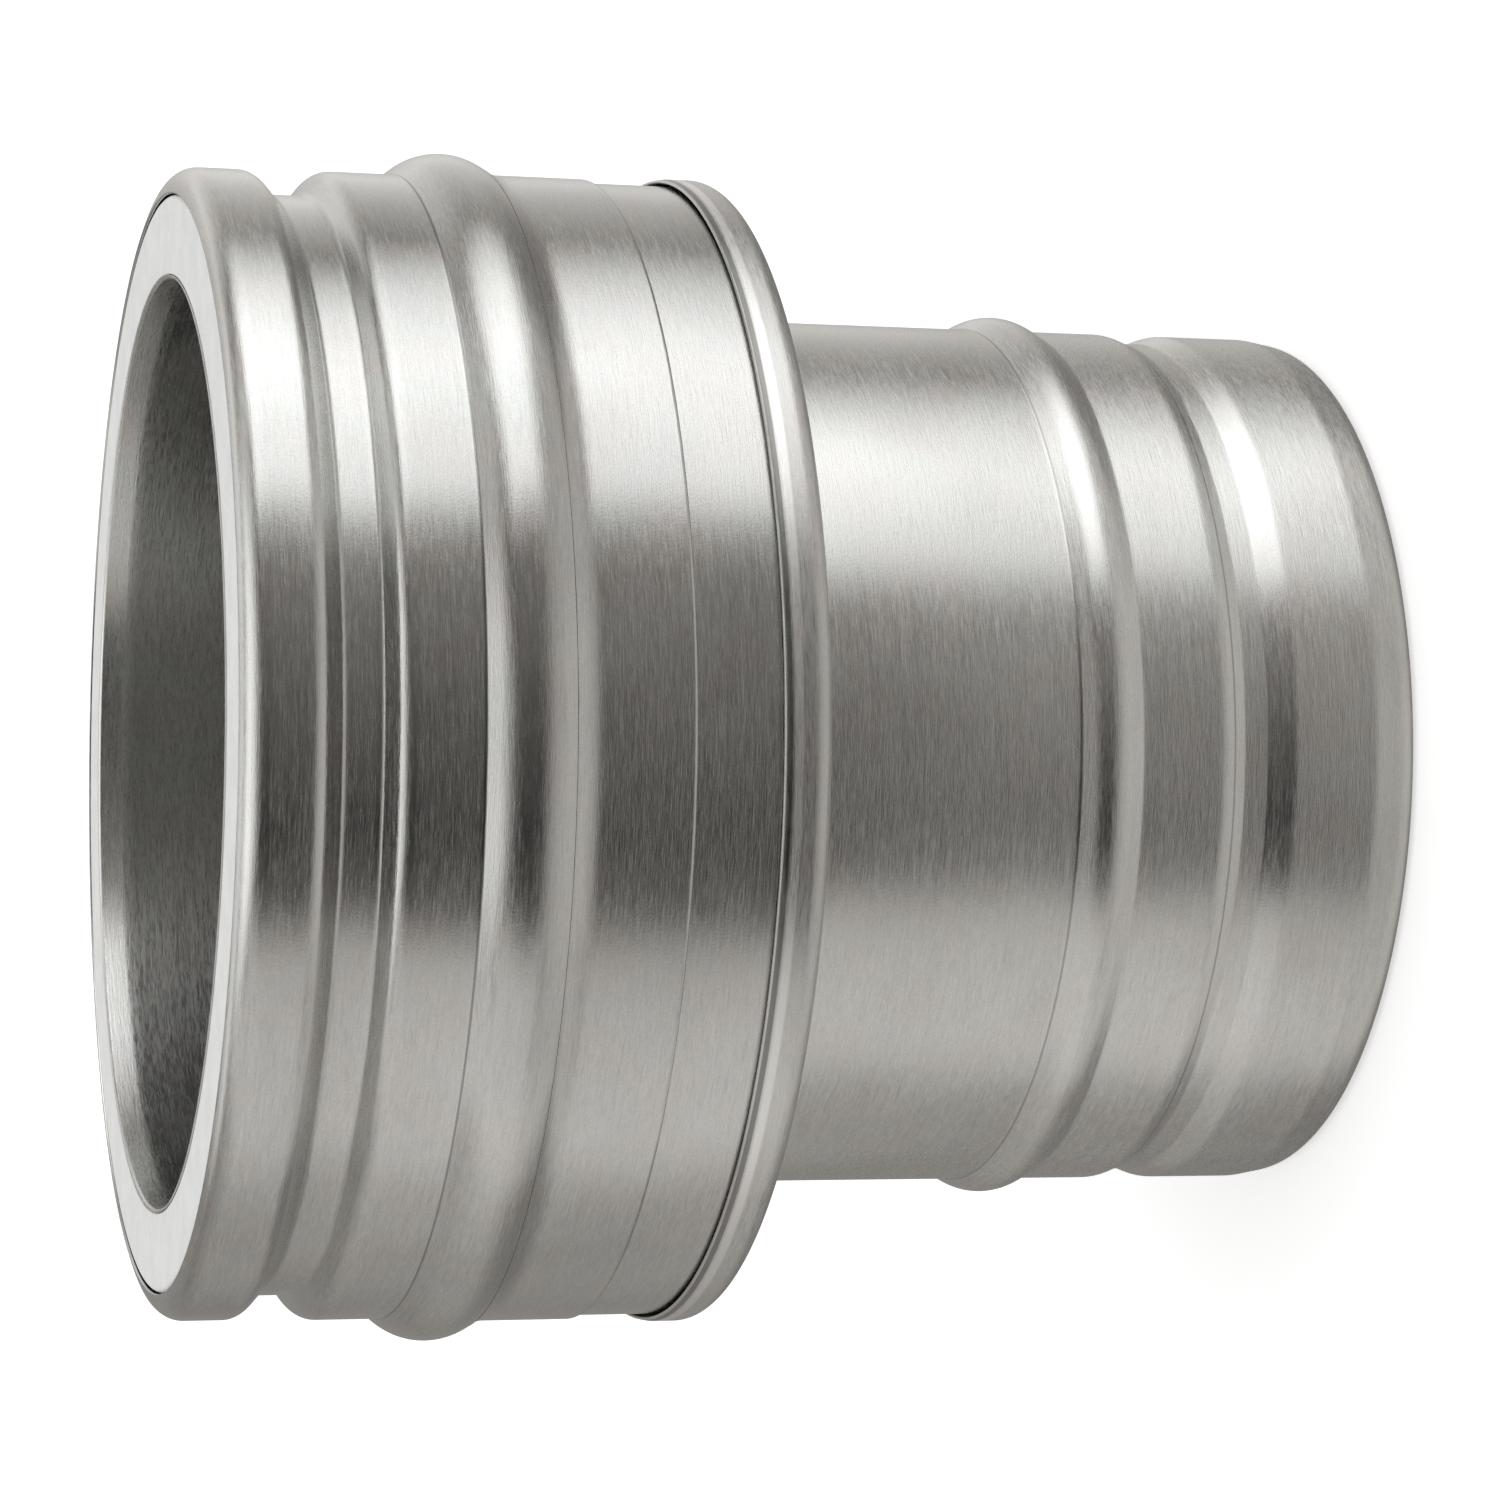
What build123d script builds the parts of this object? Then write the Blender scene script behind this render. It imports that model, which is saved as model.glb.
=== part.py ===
from build123d import *
from math import cos, radians, sin, tan
import os

# A flue transition adapter: an insulated twin-wall mouth at the top, a single-wall spigot at the bottom.
# Millimetres. Z is the flue's axis, and Z = 0 is the spigot's lower end.

# The whole
flue_radius = 75.0  # half the nominal bore
wall = 25.0  # from the nominal bore to the outside of the casing's plain band
overall_length = 203.0
insulated_length = 93.6  # from the mouth to the back of the end cap

# Sheets and fits
casing_thickness = 0.6
liner_thickness = 0.6
cap_thickness = 0.6
lap_clearance = 0.05  # between the casing and the sleeve inside it
collar_clearance = 0.05  # between the end cap's collar and the pipe
packing_clearance = 0.1  # around the insulation

# Casing lip: the free edge is turned in, short of a right angle
lip_drop = 0.9  # how far the lip lies inside the plain band
lip_bend = 4.2
lip_turn = 72.0
lip_width = 4.5  # from the lip's outside to its free edge
lip_length = 12.5  # from the mouth to the groove's upper shoulder

# Casing groove, for the locking band
groove_depth = 5.0
groove_floor = 6.3
groove_upper_angle = 48.0
groove_lower_angle = 57.0
groove_shoulder_bend = 3.4
groove_root_bend = 1.5

# Casing land and bead
land_drop = 0.65
casing_bead_depth = 46.1  # from the mouth to the bead's crown
casing_bead_height = 3.25
casing_bead_bend = 10.0
casing_bead_flank = 40.0
casing_bead_upper_foot = 1.2
casing_bead_lower_foot = 7.0

# Lap seam between the casing and the rear sleeve
seam_depth = 71.4  # from the mouth to the casing's lower edge
lap_length = 10.0

# End cap
rim_gap = 0.7  # between the sleeve and the cap's rim
rim_width = 8.4
rim_bend = 3.2
crimp_depth = 0.3  # the rim's front edge is crimped in by this much
crimp_length = 1.5
crimp_bend = 3.0
collar_length = 6.0
collar_bend = 2.0

# Liner socket at the mouth
socket_widening = 3.2  # from the pipe's outside to the socket's bore
lead_in_angle = 6.0
lead_in_length = 4.5
lead_in_bend = 5.0
socket_depth = 26.0  # from the mouth to the shoulder
shoulder_angle = 45.0
shoulder_bend = 2.0

# Spigot, with its places measured up from the lower end
pipe_allowance = 1.4  # from the nominal bore to the pipe's outside
spigot_bead_place = 55.1
spigot_bead_height = 2.3
spigot_bead_bend = 6.2
spigot_bead_flank = 33.0
spigot_bead_foot = 1.2
spigot_groove_place = 29.1
spigot_groove_floor = 4.3
spigot_groove_depth = 1.5
spigot_groove_angle = 22.0
spigot_shoulder_bend = 4.5
spigot_root_bend = 1.2
taper_place = 8.0
taper_angle = 10.0
taper_bend = 6.0
end_turn = 75.0
end_bend = 4.5

# Insulation
packing_recess = 0.3  # its front face lies this far behind the mouth
packing_inner_edge = 0.3
packing_outer_edge = 1.0

free_edge = 0.05  # straight sheet left beyond the last bend


def revolved(corners, bends, thickness=0.0):
    """Turn an outline of (radius, height) corners into a ring.

    Each inner corner is rounded to its bend. With a thickness, the outline is the
    outer skin of a sheet, run from the top down, and the sheet lies inside it.
    Without one, the outline is closed.
    """
    with BuildPart() as ring:
        with BuildSketch(Plane.XZ):
            with BuildLine():
                if thickness:
                    FilletPolyline(*corners, radius=bends)
                    offset(amount=thickness, side=Side.RIGHT)
                else:
                    FilletPolyline(*corners, radius=bends, close=True)
            make_face()
        revolve(axis=Axis.Z)
    return ring.part


def run(rise, angle):
    """Length along the axis over which a wall at this angle climbs by rise."""
    return rise / tan(radians(angle))


def bead(crown_radius, height, bend, flank, upper_radius, lower_radius):
    """Corners of a bead with its crown at this height: upper foot, meeting of the flanks, lower foot."""
    meeting = crown_radius + bend * (1 / cos(radians(flank)) - 1)
    return [
        (upper_radius, height + run(meeting - upper_radius, flank)),
        (meeting, height),
        (lower_radius, height - run(meeting - lower_radius, flank)),
    ]


def groove(floor_radius, floor_top, floor_length, angles, upper_radius, lower_radius):
    """Corners of a flat-floored groove: upper shoulder, two roots, lower shoulder."""
    floor_bottom = floor_top - floor_length
    upper_angle, lower_angle = angles
    return [
        (upper_radius, floor_top + run(upper_radius - floor_radius, upper_angle)),
        (floor_radius, floor_top),
        (floor_radius, floor_bottom),
        (lower_radius, floor_bottom - run(lower_radius - floor_radius, lower_angle)),
    ]


def turned_in(bend, turn, lean=0.0):
    """How far a turned-in edge goes past its corner: inward, and along the axis.

    The wall before the bend leans in by lean, and the edge ends just past the bend.
    """
    reach = bend * tan(radians((turn - lean) / 2)) + free_edge
    return reach * sin(radians(turn)), reach * cos(radians(turn))


# Places that several pieces share
mouth = overall_length
cap_back = mouth - insulated_length
casing_radius = flue_radius + wall
pipe_radius = flue_radius + pipe_allowance
socket_radius = pipe_radius + socket_widening
lip_radius = casing_radius - lip_drop
land_radius = casing_radius - land_drop
groove_radius = casing_radius - groove_depth
groove_top = mouth - lip_length - run(lip_radius - groove_radius, groove_upper_angle)
sleeve_radius = casing_radius - casing_thickness - lap_clearance
collar_radius = pipe_radius + collar_clearance
socket_outside = socket_radius + liner_thickness
lead_in_top = mouth - liner_thickness * sin(radians(lead_in_angle))
lead_in_outside = socket_outside + (lead_in_top - mouth + lead_in_length) * tan(radians(lead_in_angle))
shoulder_top = mouth - socket_depth
shoulder_bottom = shoulder_top - run(socket_outside - pipe_radius, shoulder_angle)


def outer_casing():
    corners = [
        (lip_radius - lip_width, mouth),
        (lip_radius, mouth - run(lip_width, lip_turn)),
        *groove(
            groove_radius,
            groove_top,
            groove_floor,
            (groove_upper_angle, groove_lower_angle),
            lip_radius,
            land_radius,
        ),
        *bead(
            casing_radius + casing_bead_height,
            mouth - casing_bead_depth,
            casing_bead_bend,
            casing_bead_flank,
            land_radius,
            casing_radius,
        ),
        (casing_radius, mouth - seam_depth),
    ]
    bends = [
        lip_bend,
        groove_shoulder_bend,
        groove_root_bend,
        groove_root_bend,
        groove_shoulder_bend,
        casing_bead_upper_foot,
        casing_bead_bend,
        casing_bead_lower_foot,
    ]
    return revolved(corners, bends, casing_thickness)


def rear_sleeve():
    corners = [
        (sleeve_radius, mouth - seam_depth + lap_length),
        (sleeve_radius, cap_back + rim_bend),
    ]
    with BuildPart() as sleeve:
        with BuildSketch(Plane.XY.offset(corners[1][1])):
            Circle(sleeve_radius)
            Circle(sleeve_radius - casing_thickness, mode=Mode.SUBTRACT)
        extrude(amount=corners[0][1] - corners[1][1])
    return sleeve.part


def end_cap():
    rim_radius = sleeve_radius + rim_gap + cap_thickness
    corners = [
        (rim_radius - crimp_depth, cap_back + rim_width),
        (rim_radius, cap_back + rim_width - crimp_length),
        (rim_radius, cap_back),
        (collar_radius, cap_back),
        (collar_radius, cap_back + collar_length),
    ]
    return revolved(corners, [crimp_bend, rim_bend, collar_bend], cap_thickness)


def flue_liner():
    inward, downward = turned_in(end_bend, end_turn, taper_angle)
    end_radius = pipe_radius - (taper_place - downward) * tan(radians(taper_angle))
    corners = [
        (lead_in_outside, lead_in_top),
        (socket_outside, mouth - lead_in_length),
        (socket_outside, shoulder_top),
        (pipe_radius, shoulder_bottom),
        *bead(
            pipe_radius + spigot_bead_height,
            spigot_bead_place,
            spigot_bead_bend,
            spigot_bead_flank,
            pipe_radius,
            pipe_radius,
        ),
        *groove(
            pipe_radius - spigot_groove_depth,
            spigot_groove_place + spigot_groove_floor / 2,
            spigot_groove_floor,
            (spigot_groove_angle, spigot_groove_angle),
            pipe_radius,
            pipe_radius,
        ),
        (pipe_radius, taper_place),
        (end_radius, downward),
        (end_radius - inward, 0),
    ]
    bends = [
        lead_in_bend,
        shoulder_bend,
        shoulder_bend,
        spigot_bead_foot,
        spigot_bead_bend,
        spigot_bead_foot,
        spigot_shoulder_bend,
        spigot_root_bend,
        spigot_root_bend,
        spigot_shoulder_bend,
        taper_bend,
        end_bend,
    ]
    return revolved(corners, bends, liner_thickness)


def insulation():
    gap = packing_clearance
    sheet = casing_thickness + gap
    bore = socket_outside + gap
    around_pipe = pipe_radius + gap
    around_collar = collar_radius + cap_thickness + gap
    in_groove = groove_radius - sheet
    outside = min(land_radius, sleeve_radius) - sheet
    front = mouth - packing_recess
    floor = cap_back + cap_thickness + gap
    collar_top = cap_back + collar_length + gap

    # Lines that run beside the liner's shoulder and inside the groove's lower wall
    def beside_shoulder(radius):
        off = gap / cos(radians(shoulder_angle))
        return shoulder_top + run(radius - off - socket_outside, shoulder_angle)

    def inside_groove(radius):
        off = sheet / cos(radians(groove_lower_angle))
        return groove_top - groove_floor - run(radius + off - groove_radius, groove_lower_angle)

    corners = [
        (lead_in_outside + gap, front),
        (bore, mouth - lead_in_length),
        (bore, beside_shoulder(bore)),
        (around_pipe, beside_shoulder(around_pipe)),
        (around_pipe, collar_top),
        (around_collar, collar_top),
        (around_collar, floor),
        (outside, floor),
        (outside, inside_groove(outside)),
        (in_groove, inside_groove(in_groove)),
        (in_groove, front),
    ]
    bends = [
        packing_inner_edge,
        lead_in_bend,
        shoulder_bend,
        shoulder_bend - gap,
        0,
        0,
        collar_bend - cap_thickness - gap,
        rim_bend,
        groove_shoulder_bend - sheet,
        groove_root_bend + sheet,
        packing_outer_edge,
    ]
    return revolved(corners, bends)


pieces = {
    "outer_casing": outer_casing,
    "rear_sleeve": rear_sleeve,
    "end_cap": end_cap,
    "flue_liner": flue_liner,
    "insulation": insulation,
}
os.makedirs("parts", exist_ok=True)
for node, make in pieces.items():
    export_step(make(), f"parts/{node}.step")
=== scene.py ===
import math
import bmesh
import bpy
from mathutils import Matrix, Vector


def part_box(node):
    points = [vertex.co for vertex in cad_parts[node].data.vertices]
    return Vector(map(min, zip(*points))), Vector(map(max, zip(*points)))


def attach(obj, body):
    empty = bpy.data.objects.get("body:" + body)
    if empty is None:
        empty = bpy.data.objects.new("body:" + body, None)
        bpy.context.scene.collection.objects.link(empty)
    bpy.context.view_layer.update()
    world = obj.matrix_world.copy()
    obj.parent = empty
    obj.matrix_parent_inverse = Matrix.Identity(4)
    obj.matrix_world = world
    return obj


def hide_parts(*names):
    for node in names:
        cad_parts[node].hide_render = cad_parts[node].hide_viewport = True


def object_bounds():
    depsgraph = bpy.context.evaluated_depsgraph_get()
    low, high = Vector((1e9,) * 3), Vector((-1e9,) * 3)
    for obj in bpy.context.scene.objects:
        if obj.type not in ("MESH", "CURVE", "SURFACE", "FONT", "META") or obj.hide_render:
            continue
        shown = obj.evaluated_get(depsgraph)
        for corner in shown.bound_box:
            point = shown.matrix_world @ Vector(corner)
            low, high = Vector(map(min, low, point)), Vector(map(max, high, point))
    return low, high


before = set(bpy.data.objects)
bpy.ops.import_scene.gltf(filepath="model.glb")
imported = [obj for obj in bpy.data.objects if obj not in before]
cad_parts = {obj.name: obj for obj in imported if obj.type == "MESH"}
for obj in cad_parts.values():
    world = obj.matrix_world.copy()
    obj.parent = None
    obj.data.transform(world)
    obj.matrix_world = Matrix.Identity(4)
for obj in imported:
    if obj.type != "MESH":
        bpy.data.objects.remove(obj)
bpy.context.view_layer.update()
print("frame loaded:", ", ".join(sorted(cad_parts)))

mm = 0.001  # in metres

# Places that the pieces share, in millimetres up from the spigot's lower end, read from the frame
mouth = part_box("outer_casing")[1].z / mm
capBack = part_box("end_cap")[0].z / mm
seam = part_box("outer_casing")[0].z / mm
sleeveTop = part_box("rear_sleeve")[1].z / mm

# Radii that the pieces share, in millimetres
radii = {
    "casing": 100.0,
    "pipe": 76.4,
    "socket": 80.2,  # outside of the widened liner
}
sheet = 0.6  # thickness of every sheet
lapGap = 0.05


# Making pieces

lathe = {
    "steps": 288,  # round the axis
    "arcStep": math.radians(6),
    "hold": 0.6,  # extra rings this far from each end keep a straight run's shading straight
    "holdShare": 0.25,  # the most of a run that each held end takes
    "mergeDistance": 0.001,
    "edgeBreak": (0.28, 1),  # width of the break on a cut edge, and its facets
    "mouthBreak": (0.2, 3),  # the same at the mouth
    "edgeAngle": math.radians(50),
}


def run(rise, angle):
    # length along the axis over which a wall at this angle climbs by rise
    return rise / math.tan(math.radians(angle))


def bead(crown, height, bend, flank, upper, lower):
    meeting = crown + bend * (1 / math.cos(math.radians(flank)) - 1)
    return [
        (upper, height + run(meeting - upper, flank)),
        (meeting, height),
        (lower, height - run(meeting - lower, flank)),
    ]


def groove(floor, floorTop, floorLength, angles, upper, lower):
    floorBottom = floorTop - floorLength
    return [
        (upper, floorTop + run(upper - floor, angles[0])),
        (floor, floorTop),
        (floor, floorBottom),
        (lower, floorBottom - run(lower - floor, angles[1])),
    ]


def drawTo(bm, tip, place):
    # a straight run from the tip, with holding points near its ends
    start, end = tip.co.copy(), Vector((place.x, 0, place.y))
    hold = (end - start).normalized() * lathe["hold"]
    stops = [end]
    if hold.length < (end - start).length * lathe["holdShare"]:
        stops = [start + hold, end - hold, end]
    for stop in stops:
        tip = bmesh.ops.extrude_vert_indiv(bm, verts=[tip])["verts"][0]
        tip.co = stop
    return tip


def drawOutline(bm, corners, bends):
    # a wire of straight runs, with each inner corner swept round its bend
    corners = [Vector(corner) for corner in corners]
    tip = bm.verts.new((corners[0].x, 0, corners[0].y))
    for before, corner, after, bend in zip(corners, corners[1:], corners[2:], bends):
        into = (corner - before).normalized()
        out = (after - corner).normalized()
        turn = into.angle_signed(out)
        start = corner - into * bend * math.tan(abs(turn) / 2)
        if bend:
            clockwise = Vector((into.y, -into.x))
            centre = start + clockwise * math.copysign(bend, turn)
            tip = drawTo(bm, tip, start)
            # an even number of steps, so that a ring lies on the middle of the bend
            steps = 2 * math.ceil(abs(turn) / lathe["arcStep"] / 2)
            swept = bmesh.ops.spin(
                bm,
                geom=[tip],
                cent=(centre.x, 0, centre.y),
                axis=(0, 1, 0),
                angle=turn,
                steps=steps,
            )
            tip = [part for part in swept["geom_last"] if isinstance(part, bmesh.types.BMVert)][0]
        else:
            tip = drawTo(bm, tip, corner)
    drawTo(bm, tip, corners[-1])


def breakEdges(bm, edges, width, segments):
    bmesh.ops.bevel(
        bm, geom=edges, offset=width, affect="EDGES", segments=segments, profile=0.5, material=-1
    )


def turned(name, corners, bends, thickness=0.0, innerBreak=None):
    # one full turn of the outline; a thickness goes inwards from the outer skin,
    # and the inner edge at the mouth can have a break of its own
    bm = bmesh.new()
    drawOutline(bm, corners, bends)
    bmesh.ops.spin(
        bm,
        geom=bm.verts[:] + bm.edges[:],
        cent=(0, 0, 0),
        axis=(0, 0, 1),
        angle=math.tau,
        steps=lathe["steps"],
        use_merge=True,
    )
    bmesh.ops.remove_doubles(bm, verts=bm.verts, dist=lathe["mergeDistance"])
    bmesh.ops.recalc_face_normals(bm, faces=bm.faces)
    widest = max(bm.faces, key=lambda face: face.calc_center_median().xy.length)
    if widest.normal.xy.dot(widest.calc_center_median().xy) < 0:
        bmesh.ops.reverse_faces(bm, faces=bm.faces)
    if thickness:
        bmesh.ops.solidify(bm, geom=bm.faces[:], thickness=thickness)
        cutEdges = [edge for edge in bm.edges if edge.calc_face_angle(0) > lathe["edgeAngle"]]
        atMouth = [edge for edge in cutEdges if edge.verts[0].co.z > mouth - thickness]
        others = [edge for edge in cutEdges if edge not in atMouth]
        if innerBreak:
            reach = min(edge.verts[0].co.xy.length for edge in atMouth) + thickness / 2
            atMouth = [edge for edge in atMouth if edge.verts[0].co.xy.length < reach]
        breakEdges(bm, atMouth, *(innerBreak or lathe["mouthBreak"]))
        breakEdges(bm, [edge for edge in others if edge.is_valid], *lathe["edgeBreak"])
    bmesh.ops.scale(bm, vec=(mm, mm, mm), verts=bm.verts)
    for face in bm.faces:
        face.smooth = True
    mesh = bpy.data.meshes.new(name)
    bm.to_mesh(mesh)
    bm.free()
    mesh.set_sharp_from_angle(angle=lathe["edgeAngle"])
    piece = bpy.data.objects.new(name, mesh)
    bpy.context.scene.collection.objects.link(piece)
    return piece


def settle(piece, node, material):
    # the piece stands for its CAD node and takes its finish
    piece.data.materials.append(material)
    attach(piece, "root")
    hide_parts(node)
    corners = [round(c / mm, 2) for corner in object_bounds() for c in corner]
    print(f"{piece.name}: {len(piece.data.polygons)} faces, box so far", *corners)


# Materials

# the mix node's sockets for colours share their names with others, so they go by number
mixSockets = {"factor": 0, "first": 6, "second": 7, "result": 2}


class Signal:
    # a socket in a node tree; sums on it add Math nodes
    def __init__(self, tree, socket=None):
        self.tree = tree
        self.socket = socket

    def node(self, kind, settings=None, inputs=None, output=0):
        new = self.tree.nodes.new("ShaderNode" + kind)
        for setting, value in (settings or {}).items():
            if setting == "stops":
                ramp = new.color_ramp.elements
                while len(ramp) < len(value):
                    ramp.new(1)
                for stop, (position, level) in zip(ramp, value):
                    stop.position = position
                    stop.color = (level, level, level, 1)
            else:
                setattr(new, setting, value)
        for name, value in (inputs or {}).items():
            if isinstance(value, Signal):
                self.tree.links.new(value.socket, new.inputs[name])
            else:
                new.inputs[name].default_value = value
        return Signal(self.tree, new.outputs[output] if new.outputs else None)

    def math(self, operation, *values):
        return self.node("Math", {"operation": operation}, dict(enumerate(values)))

    def __add__(self, other):
        return self.math("ADD", self, other)

    def __radd__(self, other):
        return self.math("ADD", other, self)

    def __sub__(self, other):
        return self.math("SUBTRACT", self, other)

    def __rsub__(self, other):
        return self.math("SUBTRACT", other, self)

    def __mul__(self, other):
        return self.math("MULTIPLY", self, other)

    def __truediv__(self, other):
        return self.math("DIVIDE", self, other)

    def __pow__(self, other):
        return self.math("POWER", self, other)

    def __neg__(self):
        return self.math("MULTIPLY", self, -1)

    def between(self, low, high):
        # 0 below low, 1 above high, smooth between them
        settings = {"interpolation_type": "SMOOTHSTEP"}
        return self.node("MapRange", settings, {"Value": self, "From Min": low, "From Max": high})

    def blend(self, first, second):
        # first where this is 0, second where it is 1, for colours
        settings = {"data_type": "RGBA", "blend_type": "MIX"}
        inputs = {
            mixSockets["factor"]: self,
            mixSockets["first"]: first,
            mixSockets["second"]: second,
        }
        return self.node("Mix", settings, inputs, mixSockets["result"])


def newMaterial(name):
    material = bpy.data.materials.new(name)
    material.use_nodes = True
    material.node_tree.nodes.clear()
    return material, Signal(material.node_tree)


steel = {
    # darkest and lightest, in the pinkish patches and in the greenish ones
    "warm": ((0.450, 0.441, 0.429), (0.777, 0.765, 0.746)),
    "cool": ((0.438, 0.444, 0.430), (0.760, 0.771, 0.748)),
    # the brush lines have a width and a length in mm, and a share
    "grain": ((0.2, 2.8, 1.0), (0.5, 10, 0.5)),
    "grainDetail": 2,
    "grainRoughness": 0.6,
    # the other noises have a size in mm and a detail
    "speckle": (0.35, 1),
    "patches": (45, 2),
    "hue": (11, 2),
    "creases": (1.4, 1),
    # shares of the lines, the speckle and the cloudy patches
    "tone": (0.55, 0.22, 0.5),
    "toneRange": (0.1, 0.9),
    "hueRange": (0.4, 0.6),
    "roughness": (0.45, 0.08),  # of the lines and the patches
    "relief": (0.024, 0.009),  # of the lines and the speckle, in mm
    # near black: the roller marks, and painted shade beside the cap's rim and in the bore
    "darkMarksAndShade": (0.03, 0.028, 0.025, 1),
    # near white: painted highlights on the cap's rim and on the pipe beside the cap
    "paintedHighlight": (0.95, 0.94, 0.92, 1),
}


def grain(start, place, width, length):
    # brush lines round the axis: long round it, fine along it and along the radius
    inputs = {"Vector": place, "Scale": 1 / (length * mm)}
    along = place.node("VectorMath", {"operation": "SCALE"}, inputs)
    x, y, z = (along.node("SeparateXYZ", None, {"Vector": along}, axis) for axis in "XYZ")
    radius = (x * x + y * y) ** 0.5
    across = length / width
    lines = start.node("CombineXYZ", None, {"X": x, "Y": y, "Z": z * across})
    settings = {"noise_dimensions": "4D"}
    inputs = {
        "Vector": lines,
        "W": radius * across,
        "Scale": 1,
        "Detail": steel["grainDetail"],
        "Roughness": steel["grainRoughness"],
    }
    return start.node("TexNoise", settings, inputs)


noiseMean = 0.5


def noise(place, size, detail):
    inputs = {"Vector": place, "Scale": 1 / (size * mm), "Detail": detail}
    return place.node("TexNoise", None, inputs)


def shaded(colour, shade):
    return (*(part * shade for part in colour), 1)


quarterTurn = 0.25  # lays the stretched highlight across the brush lines


def brushedSteel(name, roughness, anisotropy, shade=1, bands=(), ripple=0):
    material, start = newMaterial(name)
    place = start.node("TexCoord", None, None, "Object")
    height = start.node("SeparateXYZ", None, {"Vector": place}, "Z") / mm
    lines = 0
    for width, length, share in steel["grain"]:
        lines = lines + (grain(start, place, width, length) - noiseMean) * share
    speckle = noise(place, *steel["speckle"]) - noiseMean
    patches = noise(place, *steel["patches"]) - noiseMean
    hue = noise(place, *steel["hue"]).between(*steel["hueRange"])
    parts = (part * share for part, share in zip((lines, speckle, patches), steel["tone"]))
    tone = (sum(parts) + noiseMean).between(*steel["toneRange"])
    warm, cool = (
        tone.blend(*(shaded(colour, shade) for colour in steel[tint])) for tint in ("warm", "cool")
    )
    colour = hue.blend(warm, cool)
    rough = roughness + lines * steel["roughness"][0] + patches * steel["roughness"][1]
    for low, high, fade, bandColour, share in bands:
        # soft bands round the axis: real roller marks in near black, and painted shade and painted
        # highlights
        inBand = height.between(low - fade, low) * (1 - height.between(high, high + fade))
        colour = (inBand * share).blend(colour, steel[bandColour])
    relief = lines * steel["relief"][0] + speckle * steel["relief"][1]
    if ripple:
        relief = relief + noise(place, *steel["creases"]) * ripple
    bump = start.node("Bump", None, {"Height": relief, "Distance": mm, "Strength": 1.0})
    inputs = {
        "Base Color": colour,
        "Roughness": rough,
        "Metallic": 1.0,
        "Anisotropic": anisotropy,
        "Anisotropic Rotation": quarterTurn,
        "Normal": bump,
    }
    shader = start.node("BsdfPrincipled", None, inputs)
    start.node("OutputMaterial", None, {"Surface": shader})
    return material


fibre = {
    "colour": (0.80, 0.80, 0.79, 1),
    "shadeColour": (0.73, 0.73, 0.715, 1),
    # size in mm and detail
    "clumps": (7, 3),
    "grit": (0.7, 2),
    # shares of the clumps and the grit
    "tone": (0.6, 0.4),
    "toneRange": (0.35, 0.65),
    "relief": (0.10, 0.03),
    "reliefStrength": 0.6,
    "roughness": 0.85,
    "specular": 0.25,
}


def packingFibre(name):
    material, start = newMaterial(name)
    place = start.node("TexCoord", None, None, "Object")
    clumps, grit = noise(place, *fibre["clumps"]), noise(place, *fibre["grit"])
    tone = (clumps * fibre["tone"][0] + grit * fibre["tone"][1]).between(*fibre["toneRange"])
    relief = clumps * fibre["relief"][0] + grit * fibre["relief"][1]
    strength = fibre["reliefStrength"]
    bump = start.node("Bump", None, {"Height": relief, "Distance": mm, "Strength": strength})
    inputs = {
        "Base Color": tone.blend(fibre["shadeColour"], fibre["colour"]),
        "Roughness": fibre["roughness"],
        "Specular IOR Level": fibre["specular"],
        "Normal": bump,
    }
    shader = start.node("BsdfPrincipled", None, inputs)
    start.node("OutputMaterial", None, {"Surface": shader})
    return material


# Outer casing

casing = {
    "lipDrop": 0.9,
    "lipBend": 4.2,
    "lipTurn": 72,
    "lipWidth": 4.5,
    "lipLength": 12.5,
    "grooveDepth": 5.0,
    "grooveFloor": 6.3,
    "grooveWalls": (48, 57),
    "shoulderBend": 3.4,
    "rootBend": 1.5,
    "landDrop": 0.65,
    "beadDepth": 46.1,
    "beadHeight": 3.25,
    "beadBend": 10.0,
    "beadFlank": 40,
    "upperFoot": 1.2,
    "lowerFoot": 7.0,
}
lipRadius = radii["casing"] - casing["lipDrop"]
landRadius = radii["casing"] - casing["landDrop"]
grooveRadius = radii["casing"] - casing["grooveDepth"]
grooveTop = mouth - casing["lipLength"] - run(lipRadius - grooveRadius, casing["grooveWalls"][0])


def makeCasing(material):
    lockingGroove = groove(
        grooveRadius, grooveTop, casing["grooveFloor"], casing["grooveWalls"], lipRadius, landRadius
    )
    stiffeningBead = bead(
        radii["casing"] + casing["beadHeight"],
        mouth - casing["beadDepth"],
        casing["beadBend"],
        casing["beadFlank"],
        landRadius,
        radii["casing"],
    )
    corners = [
        (lipRadius - casing["lipWidth"], mouth),
        (lipRadius, mouth - run(casing["lipWidth"], casing["lipTurn"])),
        *lockingGroove,
        *stiffeningBead,
        (radii["casing"], seam),
    ]
    bends = [
        casing["lipBend"],
        casing["shoulderBend"],
        casing["rootBend"],
        casing["rootBend"],
        casing["shoulderBend"],
        casing["upperFoot"],
        casing["beadBend"],
        casing["lowerFoot"],
    ]
    settle(turned("outerCasing", corners, bends, sheet), "outer_casing", material)


# Rear sleeve and end cap

cap = {
    "rimGap": 0.7,
    "rimWidth": 8.4,
    "rimBend": 3.2,
    "crimpDepth": 0.3,
    "crimpLength": 1.5,
    "crimpBend": 3.0,
    "collarGap": 0.05,
    "collarLength": 6.0,
    "collarBend": 2.0,
}
sleeveRadius = radii["casing"] - sheet - lapGap
collarRadius = radii["pipe"] + cap["collarGap"]


def makeSleeve(material):
    corners = [(sleeveRadius, sleeveTop), (sleeveRadius, capBack + cap["rimBend"])]
    settle(turned("rearSleeve", corners, [], sheet), "rear_sleeve", material)


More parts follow.
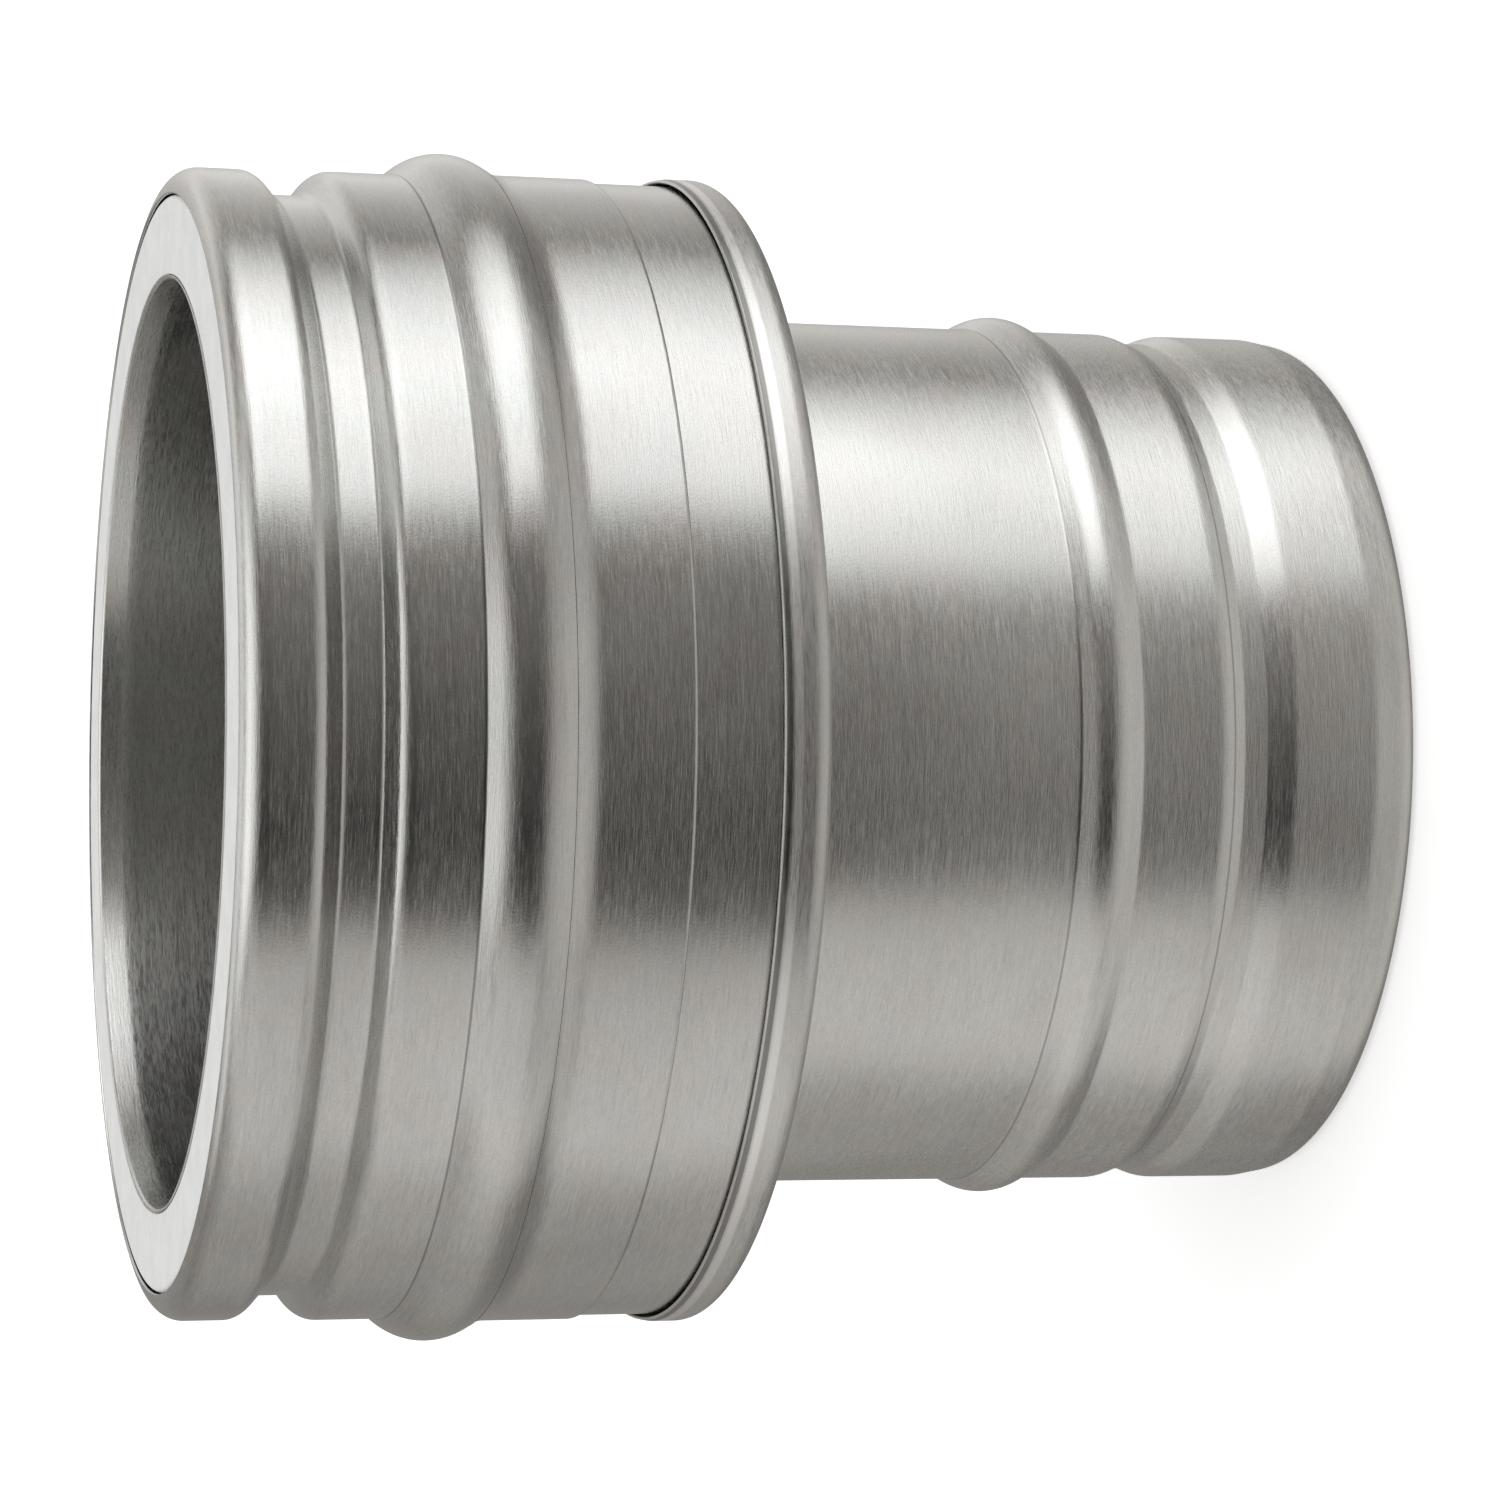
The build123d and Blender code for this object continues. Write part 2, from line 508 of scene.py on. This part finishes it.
def makeCap(material):
    rimRadius = sleeveRadius + cap["rimGap"] + sheet
    corners = [
        (rimRadius - cap["crimpDepth"], capBack + cap["rimWidth"]),
        (rimRadius, capBack + cap["rimWidth"] - cap["crimpLength"]),
        (rimRadius, capBack),
        (collarRadius, capBack),
        (collarRadius, capBack + cap["collarLength"]),
    ]
    bends = [cap["crimpBend"], cap["rimBend"], cap["collarBend"]]
    settle(turned("endCap", corners, bends, sheet), "end_cap", material)


# Flue liner

liner = {
    "leadInAngle": 6,
    "leadInLength": 4.5,
    "leadInBend": 5.0,
    "socketDepth": 26.0,
    "shoulderAngle": 45,
    "shoulderBend": 2.0,
    "beadPlace": 55.1,
    "beadHeight": 2.3,
    "beadBend": 6.2,
    "beadFlank": 33,
    "beadFoot": 1.2,
    "groovePlace": 29.1,
    "grooveFloor": 4.3,
    "grooveDepth": 1.5,
    "grooveAngle": 22,
    "grooveShoulder": 4.5,
    "grooveRoot": 1.2,
    "taperPlace": 8.0,
    "taperAngle": 10,
    "taperBend": 6.0,
    "endTurn": 75,
    "endBend": 4.5,
    "freeEdge": 0.05,  # straight sheet beyond the last bend
    "innerBreak": (0.5, 1),  # the flat on the rim's inner edge
}
leadIn = math.radians(liner["leadInAngle"])
leadInTop = mouth - sheet * math.sin(leadIn)
leadInRise = leadInTop - mouth + liner["leadInLength"]
leadInOutside = radii["socket"] + leadInRise * math.tan(leadIn)
shoulderTop = mouth - liner["socketDepth"]
shoulderBottom = shoulderTop - run(radii["socket"] - radii["pipe"], liner["shoulderAngle"])


def makeLiner(material):
    taper = math.tan(math.radians(liner["taperAngle"]))
    end = math.radians(liner["endTurn"])
    endLean = end - math.radians(liner["taperAngle"])
    reach = liner["endBend"] * math.tan(endLean / 2) + liner["freeEdge"]
    inward, downward = reach * math.sin(end), reach * math.cos(end)
    endRadius = radii["pipe"] - (liner["taperPlace"] - downward) * taper
    stopBead = bead(
        radii["pipe"] + liner["beadHeight"],
        liner["beadPlace"],
        liner["beadBend"],
        liner["beadFlank"],
        radii["pipe"],
        radii["pipe"],
    )
    sealGroove = groove(
        radii["pipe"] - liner["grooveDepth"],
        liner["groovePlace"] + liner["grooveFloor"] / 2,
        liner["grooveFloor"],
        (liner["grooveAngle"], liner["grooveAngle"]),
        radii["pipe"],
        radii["pipe"],
    )
    corners = [
        (leadInOutside, leadInTop),
        (radii["socket"], mouth - liner["leadInLength"]),
        (radii["socket"], shoulderTop),
        (radii["pipe"], shoulderBottom),
        *stopBead,
        *sealGroove,
        (radii["pipe"], liner["taperPlace"]),
        (endRadius, downward),
        (endRadius - inward, 0),
    ]
    bends = [
        liner["leadInBend"],
        liner["shoulderBend"],
        liner["shoulderBend"],
        liner["beadFoot"],
        liner["beadBend"],
        liner["beadFoot"],
        liner["grooveShoulder"],
        liner["grooveRoot"],
        liner["grooveRoot"],
        liner["grooveShoulder"],
        liner["taperBend"],
        liner["endBend"],
    ]
    piece = turned("flueLiner", corners, bends, sheet, liner["innerBreak"])
    settle(piece, "flue_liner", material)


# Insulation

packing = {
    "gap": 0.1,
    "recess": 0.3,
    "innerEdge": 0.3,
    "outerEdge": 1.0,
}


def makeInsulation(material):
    gap = packing["gap"]
    skin = sheet + gap
    bore = radii["socket"] + gap
    aroundPipe = radii["pipe"] + gap
    aroundCollar = collarRadius + sheet + gap
    inGroove = grooveRadius - skin
    outside = min(landRadius, sleeveRadius) - skin
    front = mouth - packing["recess"]
    floor = capBack + sheet + gap
    collarTop = capBack + cap["collarLength"] + gap

    def besideShoulder(radius):
        off = gap / math.cos(math.radians(liner["shoulderAngle"]))
        return shoulderTop + run(radius - off - radii["socket"], liner["shoulderAngle"])

    def insideGroove(radius):
        angle = casing["grooveWalls"][1]
        off = skin / math.cos(math.radians(angle))
        return grooveTop - casing["grooveFloor"] - run(radius + off - grooveRadius, angle)

    middle = ((bore + inGroove) / 2, front)  # the outline starts and ends on the front face
    corners = [
        middle,
        (leadInOutside + gap, front),
        (bore, mouth - liner["leadInLength"]),
        (bore, besideShoulder(bore)),
        (aroundPipe, besideShoulder(aroundPipe)),
        (aroundPipe, collarTop),
        (aroundCollar, collarTop),
        (aroundCollar, floor),
        (outside, floor),
        (outside, insideGroove(outside)),
        (inGroove, insideGroove(inGroove)),
        (inGroove, front),
        middle,
    ]
    bends = [
        packing["innerEdge"],
        liner["leadInBend"],
        liner["shoulderBend"],
        liner["shoulderBend"] - gap,
        0,
        0,
        cap["collarBend"] - sheet - gap,
        cap["rimBend"],
        casing["shoulderBend"] - skin,
        casing["rootBend"] + skin,
        packing["outerEdge"],
    ]
    settle(turned("fibrePacking", corners, bends), "insulation", material)


# Finishes: heights are in mm up from the spigot's lower end

rimEdge = capBack + cap["rimWidth"]
finishes = {
    "casing": {
        "roughness": 0.20,
        "anisotropy": 0.5,
        "bands": (
            # painted shade on the sleeve beside the cap's rim gap
            (rimEdge - 1.2, rimEdge - 0.1, 0.9, "darkMarksAndShade", 0.35),
            (165.1, 165.3, 0.15, "darkMarksAndShade", 0.5),  # roller mark at the bead's upper foot
        ),
    },
    "cap": {
        "roughness": 0.34,
        "anisotropy": 0.3,
        "shade": 1.04,
        "bands": (
            # painted shade in the crimp just below the cap's front edge
            (rimEdge - 1.2, rimEdge - 0.5, 0.2, "darkMarksAndShade", 0.6),
            # painted highlight on the ridge of the cap's rim
            (rimEdge - 2.8, rimEdge - 1.9, 0.5, "paintedHighlight", 0.8),
        ),
        "ripple": 0.012,
    },
    "liner": {
        "roughness": 0.27,
        "anisotropy": 0.45,
        "shade": 1.12,
        "bands": (
            # painted shade darkening the bore
            (170, 196, 2.8, "darkMarksAndShade", 0.31),  # the bore
            # painted highlight on the pipe beside the end cap
            (capBack - 4.6, capBack, 2.2, "paintedHighlight", 1.0),  # beside the end cap
            (33.1, 33.3, 0.15, "darkMarksAndShade", 0.4),  # roller marks at the seal groove and the stop bead
            (60.3, 60.5, 0.15, "darkMarksAndShade", 0.4),
        ),
    },
}
casingSteel = brushedSteel("casingSteel", **finishes["casing"])
capSteel = brushedSteel("capSteel", **finishes["cap"])
linerSteel = brushedSteel("linerSteel", **finishes["liner"])
whiteFibre = packingFibre("whiteFibre")
makeCasing(casingSteel)
makeSleeve(casingSteel)
makeCap(capSteel)
makeLiner(linerSteel)
makeInsulation(whiteFibre)
print("pieces made")


# Studio

studio = {
    "floorSize": 14.0,
    "floorColour": (0.86, 0.86, 0.86, 1),
    "floorGlow": 0.45,  # for the camera alone
    "worldLevel": 0.65,
    "sunStrength": 0.9,
    "sunSpread": math.radians(75),
    "sunFrom": (0.15, -0.25, 1.0),
}


def makeFloor():
    bm = bmesh.new()
    bmesh.ops.create_grid(bm, x_segments=4, y_segments=4, size=studio["floorSize"] / 2)
    mesh = bpy.data.meshes.new("floor")
    bm.to_mesh(mesh)
    bm.free()
    floor = bpy.data.objects.new("floor", mesh)
    bpy.context.scene.collection.objects.link(floor)
    material, start = newMaterial("paleFloor")
    seen = start.node("LightPath", None, None, "Is Camera Ray")
    diffuse = start.node("BsdfDiffuse", None, {"Color": studio["floorColour"]})
    glow = start.node("Emission", None, {"Strength": seen * studio["floorGlow"]})
    surface = start.node("AddShader", None, {0: diffuse, 1: glow})
    start.node("OutputMaterial", None, {"Surface": surface})
    floor.data.materials.append(material)
    floor.visible_glossy = False


# What the metal sees round about; angles are in degrees
surroundings = {
    # levels by angle round the object, from the camera's side
    "round": (
        (-180, 0.30),
        (-150, 0.27),
        (-130, 0.39),
        (-118, 0.41),
        (-100, 0.50),
        (-82, 0.72),
        (-55, 0.68),
        (-43, 0.62),
        (-31, 0.11),
        (-18, 0.035),
        (8, 0.11),
        (35, 0.24),
        (42, 0.44),
        (52, 1.45),
        (80, 1.85),
        (98, 1.45),
        (110, 0.84),
        (119, 0.34),
        (130, 0.52),
        (155, 0.88),
        (180, 0.30),
    ),
    # levels by how steeply they lie above the camera's side, over the top and down the far side
    "over": (
        (-180, 0.15),
        (-120, 0.26),
        (-95, 0.60),
        (-60, 0.56),
        (-20, 0.38),
        (30, 0.10),
        (44, 0.24),
        (56, 0.60),
        (68, 1.05),
        (88, 1.45),
        (104, 1.30),
        (118, 0.70),
        (126, 0.60),
        (136, 1.10),
        (180, 0.60),
    ),
    # the levels round the object fade into those above and below
    "topFade": (24, 40),
    "bottomFade": (-34, -8),
    "sideReach": (0.2, 0.55),  # from the middle out to the left and right
    "sideDim": 0.5,  # how much darker the levels above are there
    "dimFade": (0, 0.3),
    "sideLift": 15,  # how much further up the levels round the object go on the left
    "dimTint": (1.05, 1.0, 0.945, 1),
    "tintReach": (0.1, 1.3),
}
fullTurn = 360


def levels(angle, stops):
    # a level for each angle, read between the stops
    brightest = max(level for place, level in stops)
    stops = [(place / fullTurn + 0.5, level / brightest) for place, level in stops]
    return angle.node("ValToRGB", {"stops": stops}, {"Fac": angle / fullTurn + 0.5}) * brightest


def makeWorld():
    world = bpy.data.worlds.new("studio")
    bpy.context.scene.world = world
    world.use_nodes = True
    world.node_tree.nodes.clear()
    start = Signal(world.node_tree)
    direction = start.node("TexCoord", None, None, "Generated")
    x, y, z = (start.node("SeparateXYZ", None, {"Vector": direction}, axis) for axis in "XYZ")
    rise = start.math("ARCSINE", z) / math.radians(1)
    sides = levels(start.math("ARCTAN2", x, -y) / math.radians(1), surroundings["round"])
    over = levels(start.math("ARCTAN2", z, -y) / math.radians(1), surroundings["over"])
    left, right = ((x * way).between(*surroundings["sideReach"]) for way in (-1, 1))
    aboveSide = (rise - left * surroundings["sideLift"]).between(*surroundings["topFade"])
    atSide = rise.between(*surroundings["bottomFade"]) * (1 - aboveSide)
    dim = (left + right) * surroundings["sideDim"] * z.between(*surroundings["dimFade"])
    reflected = atSide * sides + (1 - atSide) * over * (1 - dim)
    seen = start.node("LightPath", None, None, "Is Camera Ray")
    glossy = start.node("LightPath", None, None, "Is Glossy Ray")
    level = seen + (1 - seen) * (glossy * reflected + (1 - glossy) * studio["worldLevel"])
    tint = level.between(*surroundings["tintReach"]).blend(surroundings["dimTint"], (1, 1, 1, 1))
    colour = (glossy * (1 - seen)).blend((1, 1, 1, 1), tint)
    sky = start.node("Background", None, {"Color": colour, "Strength": level})
    start.node("OutputWorld", None, {"Surface": sky})


def makeSun():
    lamp = bpy.data.lights.new("softSun", "SUN")
    lamp.energy = studio["sunStrength"]
    lamp.angle = studio["sunSpread"]
    sun = bpy.data.objects.new("softSun", lamp)
    sun.rotation_mode = "QUATERNION"
    sun.rotation_quaternion = Vector(studio["sunFrom"]).to_track_quat("Z", "Y")
    sun.visible_glossy = False
    bpy.context.scene.collection.objects.link(sun)


# Camera

cameraSettings = {
    "place": (-2.48, -804.13, 311.11),  # millimetres
    "right": (0.012287, -0.25774, -0.966136),
    "up": (0.999919, 0, 0.012716),
    "focal": 4660,  # pixels
    "imageSize": 1500,
    "sensor": 36,
    "clip": (0.05, 50),  # metres
}


def makeCamera():
    lens = bpy.data.cameras.new("camera")
    lens.sensor_width = cameraSettings["sensor"]
    lens.lens = cameraSettings["focal"] / cameraSettings["imageSize"] * cameraSettings["sensor"]
    lens.clip_start, lens.clip_end = cameraSettings["clip"]
    camera = bpy.data.objects.new("camera", lens)
    bpy.context.scene.collection.objects.link(camera)
    right = Vector(cameraSettings["right"])
    up = Vector(cameraSettings["up"])
    turn = Matrix((right, up, right.cross(up))).transposed()
    camera.matrix_world = Matrix.Translation(Vector(cameraSettings["place"]) * mm) @ turn.to_4x4()
    bpy.context.scene.camera = camera


makeFloor()
makeWorld()
makeSun()
makeCamera()
bpy.context.scene.view_settings.view_transform = "Standard"
print("studio made")
